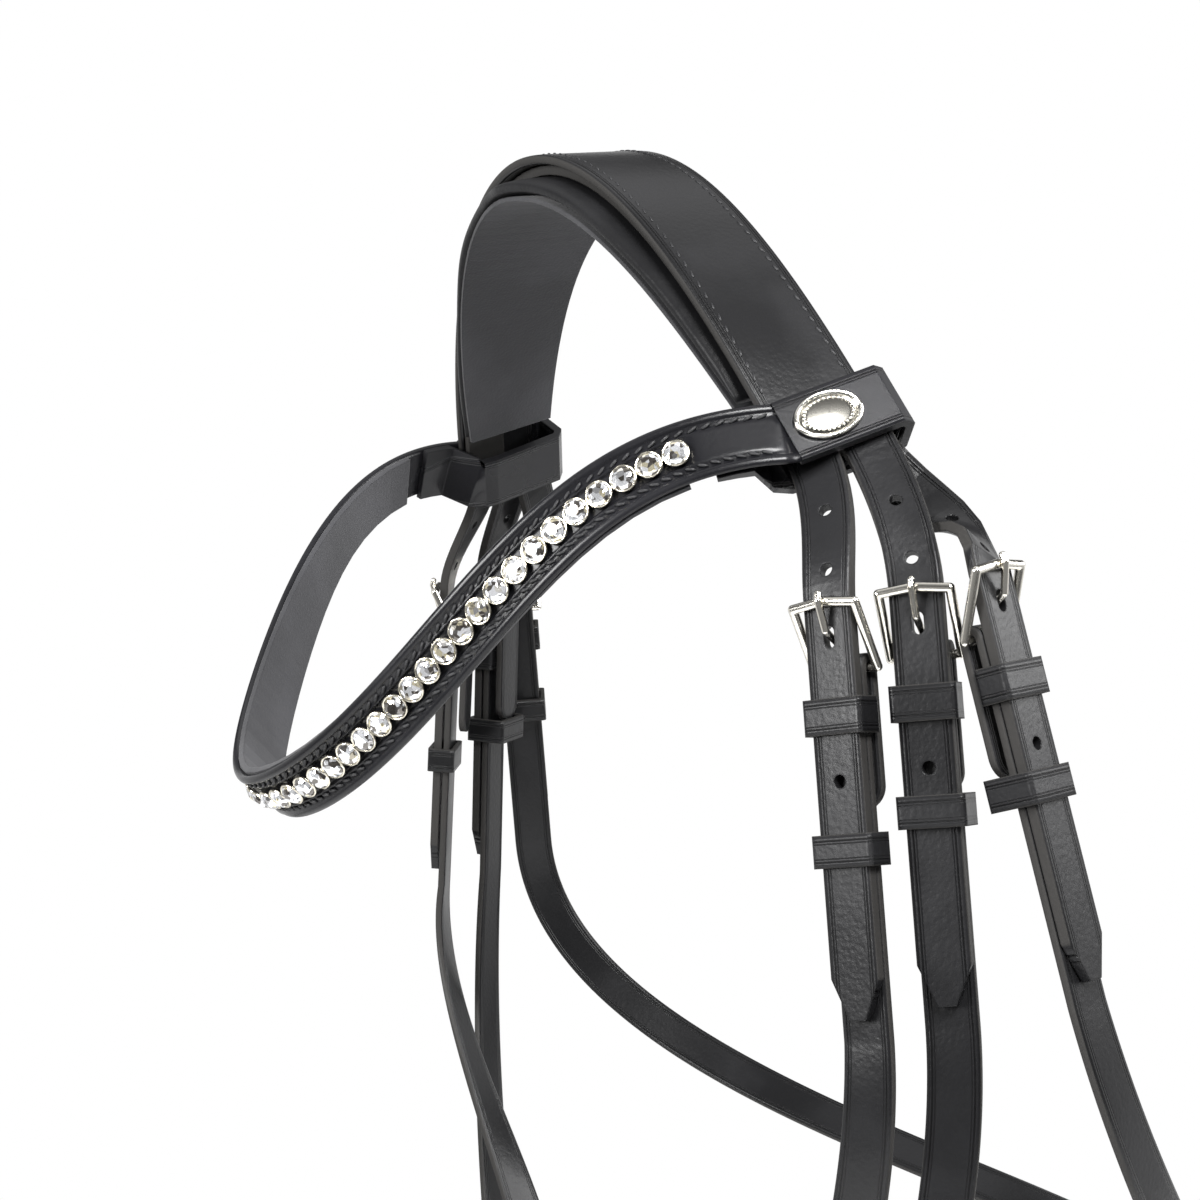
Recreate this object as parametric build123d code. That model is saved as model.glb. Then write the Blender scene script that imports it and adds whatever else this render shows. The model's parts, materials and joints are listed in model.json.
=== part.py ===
from build123d import *
import os
from math import atan2, cos, degrees, hypot, radians, sin

# Snaffle bridle, hanging as on a bridle peg, in millimetres.
# +X is the horse's left side, -Y is forward, +Z is up.
# The origin is where the middle of the padded headpiece rests on the poll.

# ---------------------------------------------------------------- driving dimensions
STRAP_WIDTH = 12.0
BILLET_THICK = 2.4
STRAP_THICK = 2.2
HOLE_PITCH = 15.8
HOLE_RADIUS = 1.5

BAND_WIDTH = 16.0
BAND_LEATHER = 2.4
BAND_LINING = 1.8
CRYSTAL_PITCH = 6.55
CRYSTALS_EACH_SIDE = 24
CRYSTAL_RADIUS = 3.05

# browband, left half: Bezier points from the middle of the forehead to the left loop
BAND_END = Vector(110.8, 0, -66)
BAND_CURVE = [
    Vector(0, -99.6, -146.1),
    Vector(49.9, -99.6, -146.1),
    Vector(87.3, -52.5, -99.2),
    Vector(85.2, -62.4, -60.0),
    Vector(110.9, -0.8, -66.2),
    BAND_END,
]
BAND_UPS = [Vector(0, -0.72, 0.69), Vector(0.23, -0.23, 1), Vector(-0.35, 0.88, 1)]
BAND_STEPS = 22
LOOP_DIR = Vector(0.11, 0.961, 0.252)      # along the browband loop, towards the ears
LOOP_LENGTH = 29.5                         # from the band's end to the outside of the fold
LOOP_GAP = 11.6                            # depth of the loop, across the straps
LOOP_WALL = 2.4

# headpiece
POLL_PAD = 6.0                             # thickness of the padding on the poll
HEAD_LEATHER = 2.6
HEAD_HALF = 107.0                          # half the headpiece's span at the loops
HEAD_Y = 10.5

# buckle, in its own frame: x across, y up the strap, z outwards, top bar at y = 0
FRAME_WIDTH = 18.2
WIRE = 1.1                                 # radius of the buckle's wire
BAR = 1.05                                 # radius of the bar that the strap folds round
BAR_DOWN = 14.0                            # from the top bar down to the bar
CHAPE_BORE = 1.13
TAIL_LENGTH = 31.0                         # folded-back end below the bar
KEEPER_WALL = 1.3
KEEPER_HEIGHT = 8.0
KEEPER_DOWN = 24.3
RUNNER_HEIGHT = 7.2
STRAIGHT = 95.0                            # straight run of a billet below the top bar
USED_HOLE_DOWN = 6.9
SEAM_GAP = 0.4

# the three straps of one side: top bar place, hanging direction and outward azimuth
NOSE, CHEEK, THROAT = "noseband", "cheek", "throat"
STRAPS = {
    NOSE: dict(top=Vector(127.3, -1.6, -105), down=Vector(0.146, -0.088, -0.985), azimuths=(62, 30),
               along=5.6, depth=7.4, reach=17, bends=(), lead=13, steps=16, runner=53.5),
    CHEEK: dict(top=Vector(135.7, 15.6, -103.5), down=Vector(0.12, -0.075, -0.988), azimuths=(75, 75, 48),
                along=18.2, depth=5.4, reach=18, bends=(), lead=13, steps=16, runner=48.0),
    THROAT: dict(top=Vector(147.0, 27.5, -100), down=Vector(0.2, 0.067, -0.978), azimuths=(78, 80, 88, 112),
                 along=19.2, depth=10.0, reach=16, bends=(Vector(119, 38, -93),), lead=9, steps=10, runner=47.5),
}

# lower ends
BIT_LOOP = Vector(70, -16, -432)           # middle of the bit's ring in the left cheekpiece
BIT_BORE = 5.0
NOSE_LEVEL = -322.0
NOSE_HALF = 84.0
NOSE_FRONT = -105.0
NOSE_BAND_HEIGHT = 22.0
NOSE_PAD = 5.0
CHIN_BACK = 88.0
THROAT_LOW = Vector(0, 118, -296)


os.makedirs("parts", exist_ok=True)
nodes = {}


# ---------------------------------------------------------------- geometry helpers
def unit(v):
    return v.normalized()


def azimuth_normal(angle):
    """Horizontal direction at an angle from straight forward towards the horse's left."""
    return Vector(sin(radians(angle)), -cos(radians(angle)), 0)


def strap_plane(point, down, outward):
    """Plane on a strap: x across it, y up it, z outwards."""
    up = unit(-down)
    across = unit(up.cross(outward))
    return Plane(point, x_dir=across, z_dir=across.cross(up))


def bezier(points, t):
    """Point and tangent of a Bezier curve, by repeated linear interpolation."""
    row = list(points)
    while len(row) > 2:
        row = [a + (b - a) * t for a, b in zip(row, row[1:])]
    return row[0] + (row[1] - row[0]) * t, unit(row[1] - row[0])


def bezier_frames(points, outwards, steps, start=0.0, end=1.0):
    """Strap planes along a Bezier, with the outward direction blended between two or more."""
    frames = []
    for i in range(steps + 1):
        t = start + (end - start) * i / steps
        place, down = bezier(points, t)
        outward = bezier(outwards, t)[0] if len(outwards) > 2 else outwards[0] * (1 - t) + outwards[1] * t
        frames.append(strap_plane(place, down, outward))
    return frames


def ribbon(frames, width, inner, outer):
    """Strap through the frames, from inner to outer across its thickness; width may be a list."""
    widths = width if isinstance(width, list) else [width] * len(frames)
    faces = []
    for frame, w in zip(frames, widths):
        section = Plane(
            frame.origin + frame.z_dir * (inner + outer) / 2, x_dir=frame.x_dir, z_dir=frame.y_dir
        )
        faces.append(section * Rectangle(w, abs(outer - inner)))
    return loft(faces, ruled=True)


def local_box(plane, x, y, z):
    """Box between the given x, y and z limits of a plane's frame."""
    box = Box(x[1] - x[0], y[1] - y[0], z[1] - z[0])
    middle = Pos((x[0] + x[1]) / 2, (y[0] + y[1]) / 2, (z[0] + z[1]) / 2)
    return plane.location * middle * box


def mirrored(shape):
    return mirror(shape, about=Plane.YZ)


def keep(name, shape):
    """Store one node; a list of solids is kept as one node of separate solids."""
    nodes[name] = Compound(children=shape) if isinstance(shape, list) else shape


def keep_pair(name, shape):
    """Store a left node and its mirror image."""
    twin = [mirrored(piece) for piece in shape] if isinstance(shape, list) else mirrored(shape)
    keep(name.format("left"), shape)
    keep(name.format("right"), twin)


# ---------------------------------------------------------------- browband
def measure(points, count=240):
    """Bezier as short chords, each with the distance travelled so far."""
    chords = []
    travelled = 0.0
    before = points[0]
    for i in range(count + 1):
        place, along = bezier(points, i / count)
        travelled += (place - before).length
        chords.append((travelled, place, along))
        before = place
    return chords


BAND_CHORDS = measure(BAND_CURVE)
BAND_HALF = BAND_CHORDS[-1][0]             # length of half the browband, loops left out


def band_plane(distance):
    """Plane on the left half: x along the band, y up its width, z outwards."""
    share = distance / BAND_HALF
    after = next((i for i, c in enumerate(BAND_CHORDS) if c[0] >= distance), len(BAND_CHORDS) - 1)
    after = max(after, 1)
    low, high = BAND_CHORDS[after - 1], BAND_CHORDS[after]
    part = (distance - low[0]) / (high[0] - low[0])
    place = low[1] + (high[1] - low[1]) * part
    along = unit(LOOP_DIR) if share >= 0.999 else high[2]
    up = bezier(BAND_UPS, min(share, 1.0))[0]
    up = unit(up - along * up.dot(along))
    return Plane(place, x_dir=along, z_dir=along.cross(up))


def mirrored_plane(plane):
    """The same plane on the right half, still running from right to left."""
    o, x, z = plane.origin, plane.x_dir, plane.z_dir
    return Plane(Vector(-o.X, o.Y, o.Z), x_dir=Vector(x.X, -x.Y, -x.Z), z_dir=Vector(-z.X, z.Y, z.Z))


def band_layer(frames, inner, outer, width=BAND_WIDTH):
    """Layer lofted along the band; inner and outer may be lists, one value for each frame."""
    inners = inner if isinstance(inner, list) else [inner] * len(frames)
    outers = outer if isinstance(outer, list) else [outer] * len(frames)
    faces = []
    for frame, low, high in zip(frames, inners, outers):
        section = Plane(
            frame.origin + frame.z_dir * (low + high) / 2, x_dir=frame.y_dir, z_dir=frame.x_dir
        )
        faces.append(section * Rectangle(width, high - low))
    return loft(faces, ruled=True)


band = [band_plane(BAND_HALF * i / BAND_STEPS) for i in range(BAND_STEPS + 1)]
loop_plane = band[-1]
LOOP_BACK = 13.3                           # depth of the inner wall at the band's end


def loop_point(along, depth, up=0.0):
    """Point in the left loop: along it, in from its outer face, and up its width."""
    return (
        loop_plane.origin + loop_plane.x_dir * along - loop_plane.z_dir * depth + loop_plane.y_dir * up
    )


def make_loop():
    """Loop for the headpiece: outer wall, fold, inner wall, and the end sewn to the band's back."""
    wall, end = LOOP_WALL, LOOP_LENGTH
    deep = wall + LOOP_GAP
    profile = [
        (0, 0), (end - 3, 0), (end, -3), (end, -deep + 0.6), (end - 3, -deep - wall),
        (4, -deep - wall), (0, -LOOP_BACK - wall), (0, -LOOP_BACK), (5, -deep), (end - wall - 1, -deep),
        (end - wall, -deep + 1), (end - wall, -wall - 1), (end - wall - 1, -wall), (0, -wall),
    ]
    # the profile lies in the plane of the band's length and its outward direction
    side = Plane(loop_plane.origin, x_dir=loop_plane.x_dir, z_dir=-loop_plane.y_dir)
    loop = extrude(side * make_face(Polyline(*profile, close=True)), amount=BAND_WIDTH / 2, both=True)
    planes = [band_plane(BAND_HALF - back) for back in (18, 13, 8.5, 3.5)] + [loop_plane]
    outer = [-2.5, -2.5, -2.6, -10.8, -LOOP_BACK]
    inner = [-4.2, -4.6, -4.9, -13.2, -LOOP_BACK - wall]
    return [loop, band_layer(planes, inner, outer)]


def make_browband():
    right = [mirrored_plane(f) for f in band[:0:-1]]
    whole = right + band
    keep("browband_leather", band_layer(whole, -BAND_LEATHER, 0))
    keep_pair("browband_{}_loop", make_loop())
    short = [mirrored_plane(f) for f in band[-4:0:-1]] + band[:-3]
    keep("browband_lining", band_layer(short, -(BAND_LEATHER + BAND_LINING), -BAND_LEATHER, BAND_WIDTH - 0.6))


def make_crystals():
    """Round cup-set crystals in one row down the middle of the band."""
    spots = [band_plane(i * CRYSTAL_PITCH) for i in range(CRYSTALS_EACH_SIDE + 1)]
    cups = []
    stones = []
    for number, spot in enumerate(spots):
        cup = Pos(0, 0, 0.73) * Cylinder(CRYSTAL_RADIUS - 0.1, 1.3)
        cup = cup - Pos(0, 0, 1.23) * Cylinder(CRYSTAL_RADIUS - 0.45, 1.3)
        stone = Pos(0, 0, 0.98) * Cylinder(CRYSTAL_RADIUS - 0.45, 0.8)
        stone = stone + Pos(0, 0, 1.98) * Cone(CRYSTAL_RADIUS - 0.1, 1.7, 1.2)
        pair = [spot.location * cup, spot.location * stone]
        cups.append(pair[0])
        stones.append(pair[1])
        if number:
            cups.append(mirrored(pair[0]))
            stones.append(mirrored(pair[1]))
    keep("crystal_cups", cups)
    keep("crystals", stones)


def make_badge():
    """Plain oval dome with a raised rim, riveted on the loop."""
    spot = Plane(loop_point(10.6, 0), x_dir=loop_plane.x_dir, z_dir=loop_plane.z_dir)
    plate = extrude(spot * Ellipse(8.3, 5.7), amount=1.0)
    rim = extrude(spot.offset(1.0) * (Ellipse(8.3, 5.7) - Ellipse(7.2, 4.6)), amount=0.7)
    rivet = extrude(spot * Circle(1.0), amount=-LOOP_WALL)
    keep_pair("badge_{}", plate + rim)
    return rivet


make_browband()
make_crystals()
make_badge()


# ---------------------------------------------------------------- headpiece
HEAD_TOP = POLL_PAD + 0.3 + BILLET_THICK + 0.3 + HEAD_LEATHER / 2
head_low = loop_point(11.0, 4.6)
head_curve = [
    Vector(0, 0, HEAD_TOP),
    Vector(52, 0, HEAD_TOP),
    head_low + loop_plane.y_dir * 40,
    head_low,
]
head_outwards = [Vector(0, 0, 1), Vector(0.5, 0, 1), loop_plane.z_dir]
HEAD_STEPS = 24


def head_layer(inner, outer, widths, shift=0.0, end=1.0):
    """Both halves of one layer of the headpiece; widths run from the poll down to the loop."""
    half = bezier_frames(head_curve, head_outwards, HEAD_STEPS, 0.0, end)
    half = [Plane(f.origin + f.x_dir * shift, x_dir=f.x_dir, z_dir=f.z_dir) for f in half]
    sizes = [widths[0] + (widths[1] - widths[0]) * i / HEAD_STEPS for i in range(HEAD_STEPS + 1)]
    left = ribbon(half, sizes, inner, outer)
    return left + mirrored(left)


def make_headpiece():
    skin = HEAD_LEATHER / 2
    keep("headpiece_leather", head_layer(-skin, skin, (30, 25)))
    under = -skin - 0.3
    keep("noseband_headstrap", head_layer(under - BILLET_THICK, under, (12, 12), shift=-5.4, end=0.98))
    pad_top = under - BILLET_THICK - 0.3
    pad = head_layer(pad_top - POLL_PAD + 1.2, pad_top, (44, 28), end=0.87)
    keep("headpiece_padding", pad)
    keep("headpiece_lining", head_layer(pad_top - POLL_PAD, pad_top - POLL_PAD + 1.2, (42, 27), end=0.87))


make_headpiece()


# ---------------------------------------------------------------- buckle set, built once in its own frame
FRONT = -(BILLET_THICK / 2 + 0.45)         # outer face of the main strap behind the billet
BAR_DEPTH = FRONT - STRAP_THICK - CHAPE_BORE
BACK = BAR_DEPTH - CHAPE_BORE - STRAP_THICK
TOP_BAR_OUT = BILLET_THICK / 2 + 0.25 + WIRE
LEG = hypot(BAR_DOWN, TOP_BAR_OUT - BAR_DEPTH)
TILT = degrees(atan2(TOP_BAR_OUT - BAR_DEPTH, BAR_DOWN))


def rod(start, end, radius):
    """Round bar from one point to another."""
    direction = end - start
    return extrude(Plane(start, z_dir=direction) * Circle(radius), amount=direction.length)


def buckle_frame():
    """Square wire frame: a bowed top bar, two legs and the bar that carries the strap."""
    half = FRAME_WIDTH / 2 - WIRE
    top = [Vector(s * half, 0, TOP_BAR_OUT) for s in (-1, 1)]
    low = [Vector(s * half, -BAR_DOWN, BAR_DEPTH) for s in (-1, 1)]
    crown = Vector(0, 0.9, TOP_BAR_OUT + 0.1)
    frame = rod(top[0], crown, WIRE) + rod(crown, top[1], WIRE) + rod(low[0], low[1], BAR)
    for t, l in zip(top, low):
        frame += rod(t, l, WIRE)
    for corner in top + low + [crown]:
        frame += Pos(*corner) * Sphere(WIRE)
    return frame


def buckle_tongue():
    """Pin that turns on the bar, passes through a billet hole and rests on the top bar."""
    pivot = Vector(0, -BAR_DOWN, BAR_DEPTH)
    ring = Rot(0, 90, 0) * (Cylinder(2.0, 2.2) - Cylinder(BAR + 0.08, 2.2))
    tongue = Pos(*pivot) * ring
    shaft = 0.85
    rest = TOP_BAR_OUT + WIRE + shaft + 0.25
    path = [
        pivot + Vector(0, 1.6, 0.4), Vector(0, -8.6, -2.9), Vector(0, -5.6, 2.4),
        Vector(0, 0.9, rest), Vector(0, 2.4, rest - 0.3),
    ]
    for a, b in zip(path, path[1:]):
        tongue += rod(a, b, shaft)
        tongue += Pos(*b) * Sphere(shaft)
    return tongue


def used_hole(depth=8.0):
    """Oval that the tongue has worn in the billet hole it uses."""
    return Pos(0, -USED_HOLE_DOWN, 0) * extrude(SlotOverall(5.0, 2.7, rotation=90), amount=depth / 2, both=True)


def chape(strap_end):
    """Top of a main strap: front layer, fold round the bar, and folded-back end."""
    outer = CHAPE_BORE + STRAP_THICK
    ring = Rot(0, 90, 0) * (Cylinder(outer, STRAP_WIDTH) - Cylinder(CHAPE_BORE, STRAP_WIDTH))
    ring = Pos(0, -BAR_DOWN, BAR_DEPTH) * ring
    half = STRAP_WIDTH / 2
    fold = ring - local_box(Plane.XY, (-half, half), (-BAR_DOWN - 9, -BAR_DOWN), (-30, 30))
    front = local_box(Plane.XY, (-half, half), (-strap_end, -BAR_DOWN), (FRONT - STRAP_THICK, FRONT))
    low = -BAR_DOWN - TAIL_LENGTH
    tail = local_box(Plane.XY, (-half, half), (low, -BAR_DOWN), (BACK, BACK + STRAP_THICK))
    corners = tail.edges().filter_by(Axis.Z).group_by(Axis.Y)[0]
    tail = fillet(corners, half - 0.6)
    slot = local_box(Plane.XY, (-1.6, 1.6), (-BAR_DOWN - 3.4, -BAR_DOWN + 6), (-30, 30))
    return fold + front + tail - slot


def tube(x_half, y_mid, height, z_in, z_out, wall):
    """Flat leather loop round the straps."""
    y = (y_mid - height / 2, y_mid + height / 2)
    outside = local_box(Plane.XY, (-x_half - wall, x_half + wall), y, (z_in - wall, z_out + wall))
    outside = fillet(outside.edges().filter_by(Axis.Y), 1.1)
    inside = local_box(Plane.XY, (-x_half, x_half), (y[0] - 1, y[1] + 1), (z_in, z_out))
    return outside - inside


def keeper(down=KEEPER_DOWN):
    """Fixed keeper: round the billet and the front layer, sewn in behind it."""
    return tube(STRAP_WIDTH / 2 + 0.25, -down, KEEPER_HEIGHT, FRONT - STRAP_THICK - 0.15, BILLET_THICK / 2 + 0.35, 1.3)


def runner(down, inner):
    """Loose keeper that slides on all the layers."""
    return tube(STRAP_WIDTH / 2 + 0.4, -down, RUNNER_HEIGHT, inner - 0.4, BILLET_THICK / 2 + 0.4, 1.3)


def billet_straight(length):
    """Straight end of a billet, with its point and the holes below the used one."""
    half = STRAP_WIDTH / 2
    outline = Polyline((-half, 0), (half, 0), (half, -length + 9), (2, -length), (-2, -length), (-half, -length + 9), close=True)
    billet = extrude(make_face(outline), amount=BILLET_THICK / 2, both=True)
    for number in (1, 2):
        billet -= Pos(0, -USED_HOLE_DOWN - number * HOLE_PITCH, 0) * Cylinder(HOLE_RADIUS, 8)
    return billet - used_hole()


FRAME, TONGUE = buckle_frame(), buckle_tongue()


# ---------------------------------------------------------------- three hanging straps of each side
def side_plane(kind):
    data = STRAPS[kind]
    return strap_plane(data["top"], unit(data["down"]), azimuth_normal(data["azimuths"][-1]))


def billet_curve(kind):
    """Bezier from the seam inside the browband loop down to the top bar of the buckle."""
    data = STRAPS[kind]
    seam = loop_point(data["along"], data["depth"])
    return [
        seam, seam - loop_plane.y_dir * data["reach"], *data["bends"],
        data["top"] - unit(data["down"]) * data["lead"], data["top"],
    ]


def make_billet(kind):
    data = STRAPS[kind]
    curve = billet_curve(kind)
    outwards = [azimuth_normal(angle) for angle in data["azimuths"]]
    frames = bezier_frames(curve, outwards, data["steps"], 0.01, 1.0)
    upper = ribbon(frames, STRAP_WIDTH, -BILLET_THICK / 2, BILLET_THICK / 2)
    for down in (HOLE_PITCH - USED_HOLE_DOWN, 2 * HOLE_PITCH - USED_HOLE_DOWN):
        length = sum((b.origin - a.origin).length for a, b in zip(frames, frames[1:]))
        t = 1 - down / length
        spot = bezier_frames(curve, outwards, 1, t, t)[0]
        upper -= spot.location * Cylinder(HOLE_RADIUS, 12)
    lower = side_plane(kind).location * billet_straight(STRAIGHT - 5)
    return upper + lower


def strap_middle():
    return FRONT - STRAP_THICK / 2


def lower_curve(kind, end, end_down, reach):
    """Bezier of a main strap from the end of its straight run to its lower end."""
    plane = side_plane(kind)
    down = -plane.y_dir
    start = plane.origin + down * STRAIGHT + plane.z_dir * strap_middle()
    return [start, start + down * reach, end - unit(end_down) * reach, end]


def main_strap(kind, curve, outwards, steps):
    """Main strap: the fold on the buckle's bar, the straight run and the free lower part."""
    frames = bezier_frames(curve, outwards, steps)
    lower = ribbon(frames, STRAP_WIDTH, -STRAP_THICK / 2, STRAP_THICK / 2)
    return side_plane(kind).location * chape(STRAIGHT) + lower


def keep_buckle_set(prefix, plane, runner_down, both=True, runner_inner=BACK):
    """Keeper, frame, tongue and runner of one buckle."""
    pieces = {
        "keeper": keeper(), "buckle_frame": FRAME, "buckle_tongue": TONGUE,
        "runner": runner(runner_down, runner_inner),
    }
    for name, piece in pieces.items():
        placed = plane.location * piece
        if both:
            keep_pair(prefix + "_{}_" + name, placed)
        else:
            keep(prefix + "_" + name, placed)


# ---------------------------------------------------------------- cheekpieces and their bit loops
def bit_loop_solid(length):
    """Lower end of a cheekpiece: its side profile round the bit's ring, carried across the strap."""
    bore, wall = BIT_BORE, STRAP_THICK
    back = bore - 0.4
    outer = Polyline(
        (-bore - wall, 0), (-bore - wall, 5), (back - wall, 19), (back - wall, 50), (back, 50), (back, 18.5),
        (-bore, 4.4), (-bore, 0),
    )
    inner = ThreePointArc((-bore, 0), (0, -bore), (bore, 0))
    front = Polyline((bore, 0), (bore, length), (bore + wall, length), (bore + wall, 0))
    outside = ThreePointArc((bore + wall, 0), (0, -bore - wall), (-bore - wall, 0))
    face = make_face([outer, inner, front, outside])
    side = Plane(Vector(0, 0, 0), x_dir=Vector(0, 0, 1), z_dir=Vector(-1, 0, 0))
    return extrude(side * face, amount=STRAP_WIDTH / 2, both=True)


CHEEK_END = 66.0                           # straight lower end of a cheekpiece
cheek_down = unit(Vector(-0.30, -0.05, -1))
cheek_low = strap_plane(BIT_LOOP, cheek_down, azimuth_normal(78))


def make_cheek():
    front_mid = BIT_BORE + STRAP_THICK / 2
    end = cheek_low.origin + cheek_low.y_dir * CHEEK_END + cheek_low.z_dir * front_mid
    curve = lower_curve(CHEEK, end, cheek_down, 60)
    strap = main_strap(CHEEK, curve, [azimuth_normal(48), azimuth_normal(78)], 30)
    loop = bit_loop_solid(CHEEK_END)
    stud_up = 34.0
    loop -= Pos(0, stud_up, 0) * Cylinder(1.75, 40)
    keep_pair("cheek_{}_strap", strap + cheek_low.location * loop)
    keep_pair("cheek_{}_billet", make_billet(CHEEK))
    keep_buckle_set("cheek", side_plane(CHEEK), STRAPS[CHEEK]["runner"])
    back = BIT_BORE - 0.4 - STRAP_THICK
    front = BIT_BORE + STRAP_THICK
    stud = Pos(0, stud_up, (back + front) / 2) * Cylinder(1.7, front - back)
    stud += Pos(0, stud_up, back - 0.6) * Cylinder(3.0, 1.2)
    stud += Pos(0, stud_up, front + 0.4) * Cylinder(2.6, 0.8)
    keep_pair("cheek_{}_hook_stud", cheek_low.location * stud)
    loops = [tube(STRAP_WIDTH / 2 + 0.2, y, 7.0, back - 0.25, front + 0.2, 1.3) for y in (24.5, 43.5)]
    keep_pair("cheek_{}_bit_keepers", [cheek_low.location * piece for piece in loops])


make_cheek()


# ---------------------------------------------------------------- noseband
def nose_frames(steps):
    """Front half of the noseband, from the left cheek round the nose to the right cheek."""
    frames = []
    for i in range(steps + 1):
        angle = radians(180 * i / steps)
        place = Vector(NOSE_HALF * cos(angle), NOSE_FRONT * sin(angle), NOSE_LEVEL + 10 * sin(angle))
        tangent = unit(Vector(-NOSE_HALF * sin(angle), NOSE_FRONT * cos(angle), 10 * cos(angle)))
        outward = tangent.cross(Vector(0, 0, 1)) * -1
        up = unit(outward.cross(tangent))
        if up.Z < 0:
            up = -up
        outward = unit(Vector(place.X / NOSE_HALF ** 2, place.Y / NOSE_FRONT ** 2, 0))
        up = unit(Vector(0, 0, 1) - outward * Vector(0, 0, 1).dot(outward))
        frames.append(Plane(place, x_dir=up.cross(outward), z_dir=outward))
    return frames


def wrap(frames, height, inner, outer):
    """Band that stands on edge round the nose."""
    faces = []
    for frame in frames:
        section = Plane(
            frame.origin + frame.z_dir * (inner + outer) / 2, x_dir=frame.y_dir, z_dir=frame.x_dir
        )
        faces.append(section * Rectangle(height, abs(outer - inner)))
    return loft(faces, ruled=True)


CHIN_TOP = Vector(74, 66, NOSE_LEVEL)      # top bar of the chin buckle
CHIN_SHORT = 62.0


def chin_plane():
    """Buckle frame of the chin strap: its billet runs forward along the left cheek."""
    target = Vector(NOSE_HALF + 4.2, 0, NOSE_LEVEL)
    run = unit(target - CHIN_TOP)
    up = -run
    outward = unit(Vector(0, 0, 1).cross(up) * -1)
    if outward.X < 0:
        outward = -outward
    across = unit(up.cross(outward))
    return Plane(CHIN_TOP, x_dir=across, z_dir=across.cross(up))


def make_noseband():
    frames = nose_frames(28)
    keep("nose_leather", wrap(frames, NOSE_BAND_HEIGHT, 0, 2.4))
    keep("nose_padding", wrap(frames[1:-1], NOSE_BAND_HEIGHT - 1, -NOSE_PAD, 0))
    # hangers
    end = Vector(NOSE_HALF + 2.4 + STRAP_THICK / 2 + 0.1, -4, NOSE_LEVEL - 8)
    curve = lower_curve(NOSE, end, Vector(0, 0.02, -1), 45)
    strap = main_strap(NOSE, curve, [azimuth_normal(30), azimuth_normal(90)], 24)
    keep_pair("noseband_{}_hanger", strap)
    keep_pair("noseband_{}_billet", make_billet(NOSE))
    keep_buckle_set(
        "noseband", side_plane(NOSE), STRAPS[NOSE]["runner"], runner_inner=FRONT - STRAP_THICK
    )
    make_chin()


def make_chin():
    plane = chin_plane()
    down = -plane.y_dir
    # buckle end: short strap from the chape forward to the nose piece
    half = STRAP_WIDTH / 2
    short = chape(CHIN_SHORT)
    keep("chin_buckle_strap", plane.location * short)
    # billet: comes from the right cheek round the back of the jaw
    straight = plane.location * billet_straight(52)
    start = plane.origin
    right = Vector(-NOSE_HALF - 1.2, 4, NOSE_LEVEL)
    rear = [
        right, Vector(-NOSE_HALF - 2, 60, NOSE_LEVEL), Vector(-40, CHIN_BACK + 32, NOSE_LEVEL),
        start - down * 50, start,
    ]
    outs = [Vector(-1, 0.1, 0), Vector(-1, 0.9, 0), Vector(0, 1.6, 0), Vector(0.8, 1.4, 0), plane.z_dir]
    frames = bezier_frames(rear, outs, 20)
    strap = ribbon(frames, STRAP_WIDTH, -BILLET_THICK / 2, BILLET_THICK / 2)
    keep("chin_strap", strap + straight)
    keep_buckle_set("chin", plane, 41.0, both=False)


make_noseband()


# ---------------------------------------------------------------- throatlatch
def make_throatlatch():
    plane = side_plane(THROAT)
    down = -plane.y_dir
    start = plane.origin + down * STRAIGHT + plane.z_dir * strap_middle()
    low = THROAT_LOW
    curve = [start, start + down * 70, Vector(100, low.Y, low.Z), low]
    outs = [azimuth_normal(112), azimuth_normal(105), Vector(0.6, 0.5, -1), Vector(0, 0.5, -1)]
    strap = main_strap(THROAT, curve, outs, 32)
    keep("throatlatch_strap", strap + mirrored(strap))
    keep_pair("throatlatch_{}_billet", make_billet(THROAT))
    keep_buckle_set("throatlatch", plane, STRAPS[THROAT]["runner"])


make_throatlatch()

for name, shape in nodes.items():
    export_step(shape, f"parts/{name}.step")
    box = shape.bounding_box()
    print(f"{name:32s} solids {len(shape.solids()):3d}  volume {shape.volume:9.1f}  "
          f"z {box.min.Z:7.1f} to {box.max.Z:7.1f}")
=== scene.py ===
# %% [markdown]
# # Snaffle bridle
# A bridle is a set of narrow leather straps that hangs on a horse's head. The CAD frame has every strap,
# buckle and runner at its real size. This script gives them their finish, and builds the pieces whose looks
# come from soft or sparkling shapes: the padded headpiece and nose piece, the browband and its crystals.

# %% Open the frame
import json
import bpy
import numpy as np
from mathutils import Matrix


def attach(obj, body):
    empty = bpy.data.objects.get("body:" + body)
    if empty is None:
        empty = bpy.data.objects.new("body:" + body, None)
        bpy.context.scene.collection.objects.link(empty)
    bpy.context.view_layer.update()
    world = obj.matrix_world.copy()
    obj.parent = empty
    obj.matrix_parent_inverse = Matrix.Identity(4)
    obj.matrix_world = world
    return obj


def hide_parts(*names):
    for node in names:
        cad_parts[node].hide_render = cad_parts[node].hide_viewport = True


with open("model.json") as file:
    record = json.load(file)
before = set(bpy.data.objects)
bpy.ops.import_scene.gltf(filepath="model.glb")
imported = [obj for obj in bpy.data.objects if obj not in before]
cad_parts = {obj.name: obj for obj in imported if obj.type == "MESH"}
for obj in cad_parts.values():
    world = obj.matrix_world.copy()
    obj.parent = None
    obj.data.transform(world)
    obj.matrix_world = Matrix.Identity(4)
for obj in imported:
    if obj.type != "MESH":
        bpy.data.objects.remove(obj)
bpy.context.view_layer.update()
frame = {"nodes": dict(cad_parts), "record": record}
nodes = frame["nodes"]
print("CAD nodes:", len(nodes))

# %% [markdown]
# ## Camera
# The camera stands close to the near side, about two thirds of a metre away, a little above the browband's
# loop and rolled a few degrees. A matrix whose columns are right, up and back places it exactly.

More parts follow.
